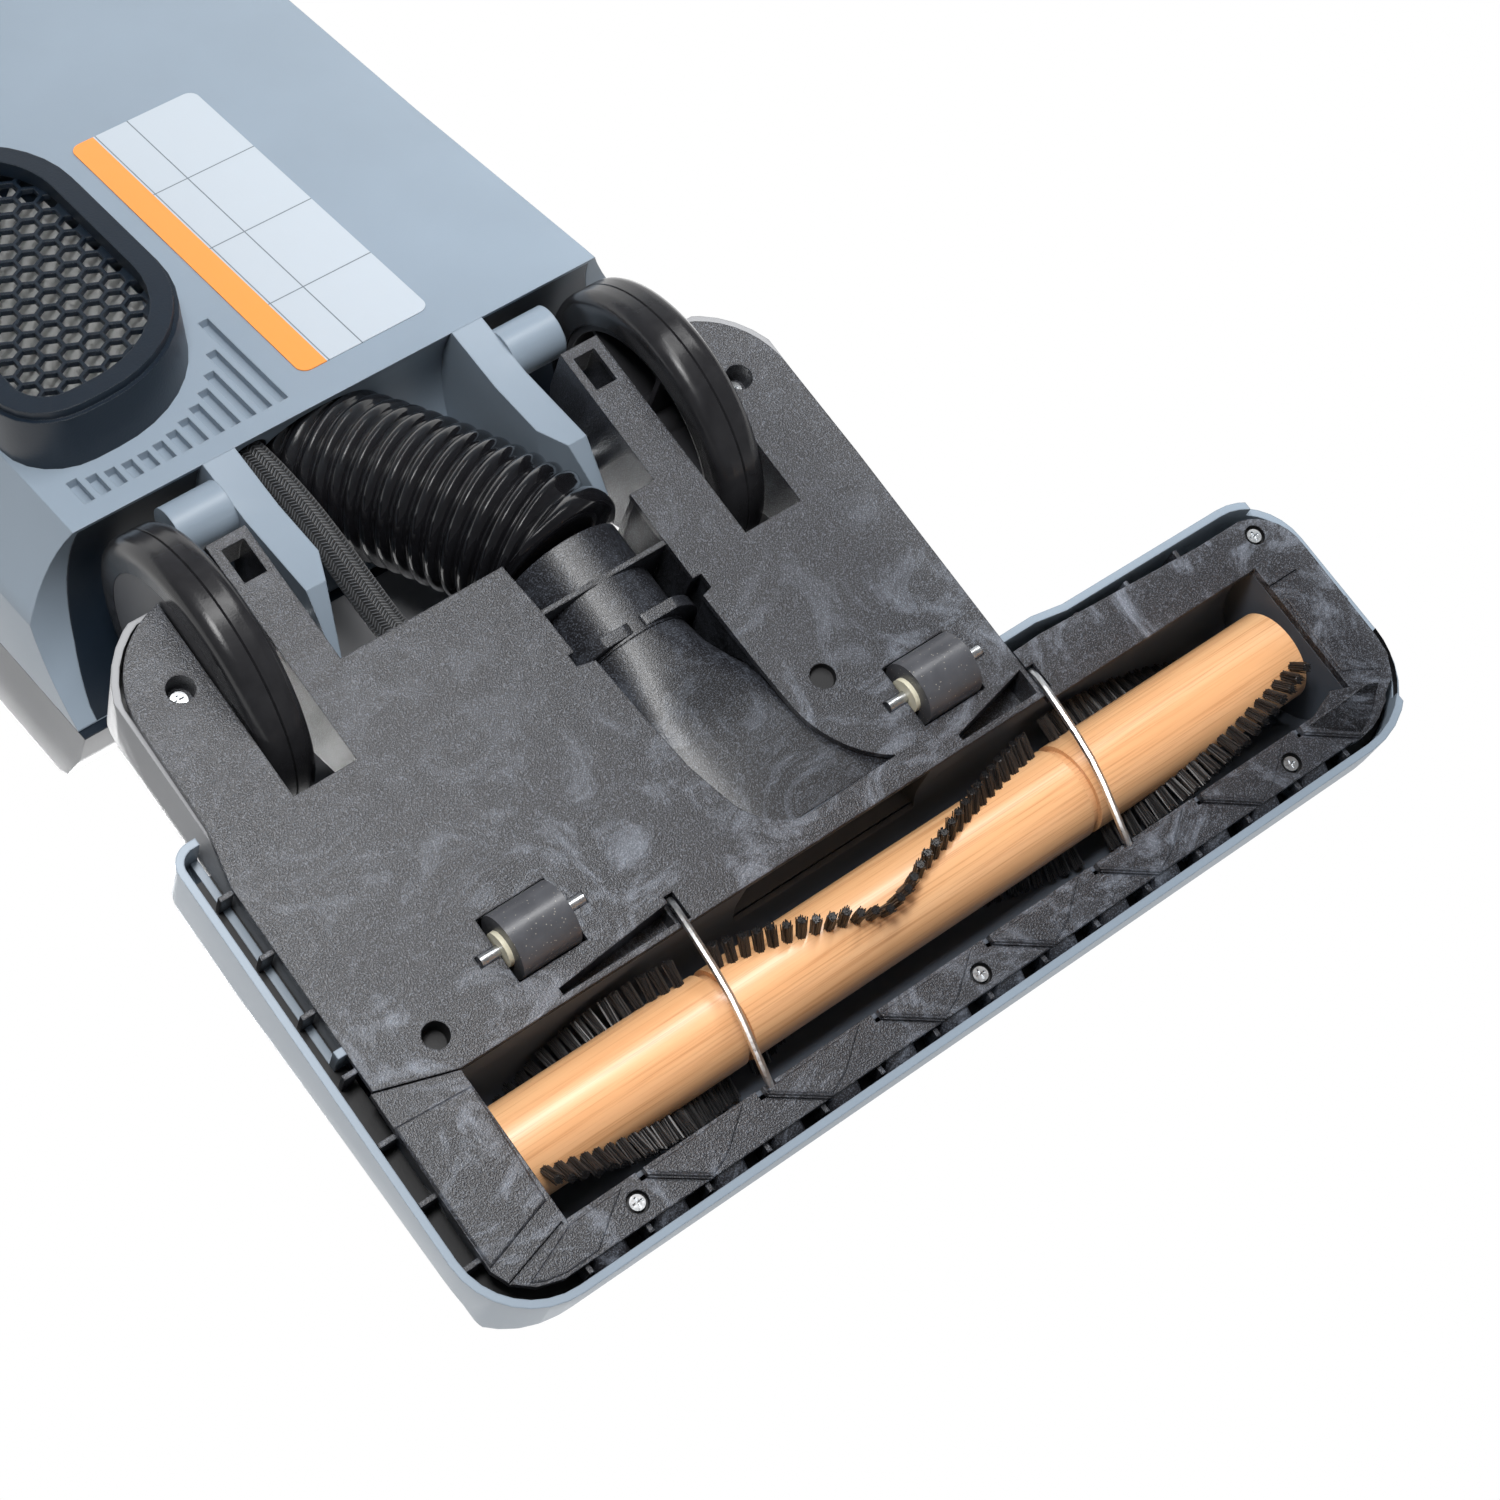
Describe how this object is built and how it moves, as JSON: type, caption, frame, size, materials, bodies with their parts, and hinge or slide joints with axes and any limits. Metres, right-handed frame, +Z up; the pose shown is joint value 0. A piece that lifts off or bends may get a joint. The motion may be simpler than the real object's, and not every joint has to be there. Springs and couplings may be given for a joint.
{
  "type": "upright vacuum cleaner",
  "caption": "Upright vacuum cleaner laid back on its rear wheels, with an offset brush head, a turning wooden brush roll, a hinged dust bag housing and a tube handle with a closed grip.",
  "frame": {"origin": "centre of the bounding box at the floor, the object laid back on its wheels and front rollers", "axes": "+X towards the short overhang of the brush head, +Y from the brush head along the laid-back body to the grip, +Z up"},
  "size_m": [0.3804, 1.2368, 0.545],
  "materials": {
    "blue_abs": "satin",
    "black_plastic": "satin",
    "charcoal_plastic": "satin",
    "grey_plastic": "satin",
    "steel": "zinc plated",
    "rubber": "matte",
    "maple": "lacquered",
    "bristle": "stiff bristle",
    "ivory_plastic": "satin",
    "paper": "matte",
    "filter_paper": "matte",
    "label": "satin"
  },
  "bodies": {
    "head": {"base_plate": "black_plastic", "sole_frame": "black_plastic", "head_shell": "blue_abs", "brush_chamber": "grey_plastic", "chassis_cover": "grey_plastic", "suction_duct": "black_plastic", "duct_cuff": "black_plastic", "duct_collar": "black_plastic", "duct_well": "black_plastic", "wire_guard_left": "steel", "wire_guard_right": "steel", "case_screws": "steel", "axle_left": "steel", "axle_right": "steel", "brush_motor": "charcoal_plastic", "brush_bearings": "steel", "roller_pin_left": "steel", "roller_pin_right": "steel", "drive_belt": "rubber", "suction_hose": "rubber", "motor_lead": "rubber"},
    "brush": {"brush_roll": "maple", "bristle_rows": "bristle", "brush_stubs": "steel"},
    "motor_shaft": {"motor_pulley": "steel"},
    "wheel_left": {"wheel_tyre_left": "rubber", "wheel_hub_left": "charcoal_plastic"},
    "wheel_right": {"wheel_tyre_right": "rubber", "wheel_hub_right": "charcoal_plastic"},
    "roller_left": {"roller_tyre_left": "rubber", "roller_core_left": "ivory_plastic"},
    "roller_right": {"roller_tyre_right": "rubber", "roller_core_right": "ivory_plastic"},
    "upright": {"hose_port": "black_plastic", "fork_left": "blue_abs", "fork_right": "blue_abs", "rear_housing": "blue_abs", "arch_left": "charcoal_plastic", "arch_right": "charcoal_plastic", "motor_cover": "charcoal_plastic", "exhaust_collar": "charcoal_plastic", "exhaust_grille": "charcoal_plastic", "filter": "filter_paper", "suction_motor": "charcoal_plastic", "bulkhead": "black_plastic", "label_plate": "label", "door_pin": "steel", "top_cap": "charcoal_plastic", "dust_bag": "paper", "handle_socket": "black_plastic", "handle_tube": "steel", "switch_box": "black_plastic", "grip": "black_plastic", "cord_hook": "black_plastic", "hook_saddle": "black_plastic", "cord_gland": "black_plastic"},
    "door": {"bag_door": "blue_abs"},
    "latch": {"door_latch": "black_plastic"},
    "rocker": {"switch_rocker": "black_plastic"},
    "cord_hook": {"cord_hook_swivel": "black_plastic"}
  },
  "joints": [
    {"name": "recline", "type": "hinge", "parent": "head", "child": "upright", "pos_m": [0.05075, -0.39116, 0.05], "axis": [1, 0, 0], "range_deg": [0, 65], "deforming": ["suction_hose", "motor_lead"]},
    {"name": "brush_spin", "type": "hinge", "parent": "head", "child": "brush", "pos_m": [0.05075, -0.57117, 0.02683], "axis": [1, 0, 0], "continuous": true},
    {"name": "motor_spin", "type": "hinge", "parent": "head", "child": "motor_shaft", "pos_m": [0.05075, -0.48343, 0.0433], "axis": [1, 0, 0], "continuous": true},
    {"name": "wheel_left_spin", "type": "hinge", "parent": "head", "child": "wheel_left", "pos_m": [0.13875, -0.39116, 0.05], "axis": [1, 0, 0], "continuous": true},
    {"name": "wheel_right_spin", "type": "hinge", "parent": "head", "child": "wheel_right", "pos_m": [-0.03725, -0.39116, 0.05], "axis": [1, 0, 0], "continuous": true},
    {"name": "roller_left_spin", "type": "hinge", "parent": "head", "child": "roller_left", "pos_m": [0.11185, -0.5195, 0.011], "axis": [1, 0, 0], "continuous": true},
    {"name": "roller_right_spin", "type": "hinge", "parent": "head", "child": "roller_right", "pos_m": [-0.04585, -0.5195, 0.011], "axis": [1, 0, 0], "continuous": true},
    {"name": "door_hinge", "type": "hinge", "parent": "upright", "child": "door", "pos_m": [0.05075, -0.24484, 0.25416], "axis": [1, 0, 0], "range_deg": [0, 75]},
    {"name": "latch_turn", "type": "hinge", "parent": "upright", "child": "latch", "pos_m": [0.05075, 0.15405, 0.36663], "axis": [1, 0, 0], "range_deg": [-40, 0]},
    {"name": "rocker_tip", "type": "hinge", "parent": "upright", "child": "rocker", "pos_m": [0.05075, 0.47285, 0.4781], "axis": [1, 0, 0], "range_deg": [0, 20]},
    {"name": "cord_hook_turn", "type": "hinge", "parent": "upright", "child": "cord_hook", "pos_m": [0.05075, 0.41996, 0.40702], "axis": [0, -0.4234, 0.9059], "range_deg": [0, 180]}
  ],
  "couplings": [
    {"joint": "motor_spin", "follows": "brush_spin", "ratio": 1.375}
  ]
}
